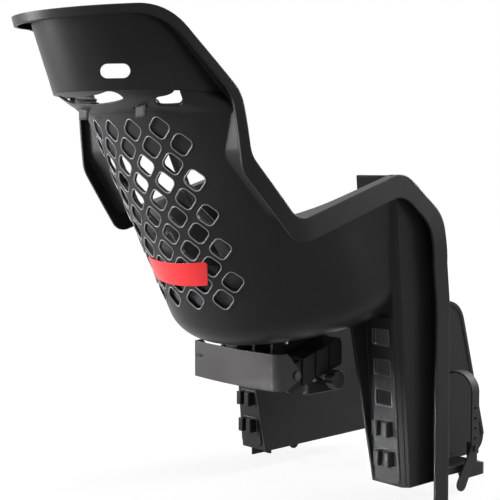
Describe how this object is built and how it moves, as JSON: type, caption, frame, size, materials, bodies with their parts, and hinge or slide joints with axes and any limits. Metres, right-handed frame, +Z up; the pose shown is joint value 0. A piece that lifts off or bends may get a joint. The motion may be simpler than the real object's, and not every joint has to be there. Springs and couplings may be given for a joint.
{
  "type": "rear bicycle child seat",
  "caption": "Moulded rear child seat with a lattice back, head cowl, leg guards, adjustable footrests and a clamp mount for a bicycle's luggage carrier.",
  "frame": {"origin": "middle of the mount's flat pad where it rests on the carrier", "axes": "+X the seat's right, +Y forward, +Z up"},
  "size_m": [0.4144, 0.7942, 0.7072],
  "materials": {
    "black_plastic": "fine moulded grain",
    "mount_plastic": "satin moulded",
    "grey_plastic": "metallic grey satin",
    "badge": "plain red gloss",
    "button": "red",
    "cushion": "knitted cover",
    "webbing": "woven webbing",
    "strap_rubber": "matte",
    "steel": "zinc plated"
  },
  "bodies": {
    "seat": {"seat_shell": "black_plastic", "back_badge": "badge", "seat_pad": "cushion", "mount_base": "mount_plastic", "guide_rods": "steel", "mount_screws": "steel", "mount_nuts": "steel", "handle_pins": "steel", "crotch_strap": "webbing", "buckle_body": "black_plastic", "shoulder_strap_right": "webbing", "shoulder_strap_left": "webbing", "shoulder_pad_right": "cushion", "shoulder_pad_left": "cushion", "tongue_right": "black_plastic", "tongue_left": "black_plastic"},
    "lever": {"lock_handle": "grey_plastic"},
    "spindle": {"clamp_screw": "steel", "clamp_knob": "black_plastic"},
    "jaw_right": {"clamp_jaw_right": "mount_plastic"},
    "jaw_left": {"clamp_jaw_left": "mount_plastic"},
    "rest_right": {"footrest_right": "black_plastic", "foot_strap_right": "strap_rubber"},
    "rest_left": {"footrest_left": "black_plastic", "foot_strap_left": "strap_rubber"},
    "button": {"buckle_button": "button"}
  },
  "joints": [
    {"name": "lever_swing", "type": "hinge", "parent": "seat", "child": "lever", "pos_m": [0, -0.045, 0.022], "axis": [1, 0, 0], "range_deg": [0, 35], "stiffness_Nm_per_rad": 0.6, "springref_deg": -20.05},
    {"name": "knob_turn", "type": "hinge", "parent": "seat", "child": "spindle", "pos_m": [0, 0.027, 0.009], "axis": [1, 0, 0], "range_deg": [-360, 360]},
    {"name": "jaw_right_slide", "type": "slide", "parent": "seat", "child": "jaw_right", "axis": [1, 0, 0], "range_m": [-0.00795, 0.00795]},
    {"name": "jaw_left_slide", "type": "slide", "parent": "seat", "child": "jaw_left", "axis": [-1, 0, 0], "range_m": [-0.008, 0.008]},
    {"name": "footrest_right_pull", "type": "slide", "parent": "seat", "child": "rest_right", "axis": [0, 1, 0], "range_m": [0, 0.03]},
    {"name": "footrest_left_pull", "type": "slide", "parent": "seat", "child": "rest_left", "axis": [0, 1, 0], "range_m": [0, 0.03]},
    {"name": "button_press", "type": "slide", "parent": "seat", "child": "button", "axis": [0, 0.2079, -0.9781], "range_m": [0, 0.002], "stiffness_N_per_m": 400, "springref_m": -0.002}
  ],
  "couplings": [
    {"joint": "knob_turn", "follows": "jaw_right_slide", "rad_per_m": 785.4},
    {"joint": "jaw_left_slide", "follows": "jaw_right_slide", "ratio": 1}
  ]
}
